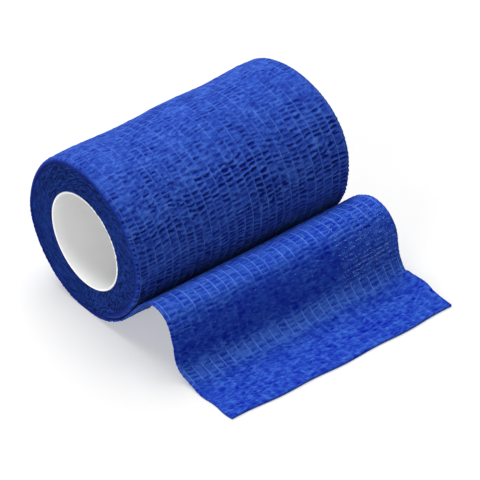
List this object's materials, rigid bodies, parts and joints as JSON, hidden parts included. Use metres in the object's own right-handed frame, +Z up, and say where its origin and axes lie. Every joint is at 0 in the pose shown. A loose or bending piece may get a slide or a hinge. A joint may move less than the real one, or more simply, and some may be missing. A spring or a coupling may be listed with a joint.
{
  "type": "cohesive bandage roll",
  "caption": "Crepe bandage wound on a thin tube core, its loose end rising in a hump and lying out flat; wraps a limb and sticks to itself.",
  "frame": {"origin": "middle of the flat spot under the roll, on the surface that it rests on", "axes": "+X along the roll's axis from the near face to the far face; -Y towards the loose end; +Z up"},
  "size_m": [0.08, 0.0886, 0.0488],
  "materials": {
    "bandage_cloth": "blue crepe cloth, matte, with elastic threads",
    "core_white": "smooth white, satin"
  },
  "bodies": {
    "root": {"core_tube": "core_white", "wound_roll": "bandage_cloth", "loose_end": "bandage_cloth"}
  },
  "joints": []
}
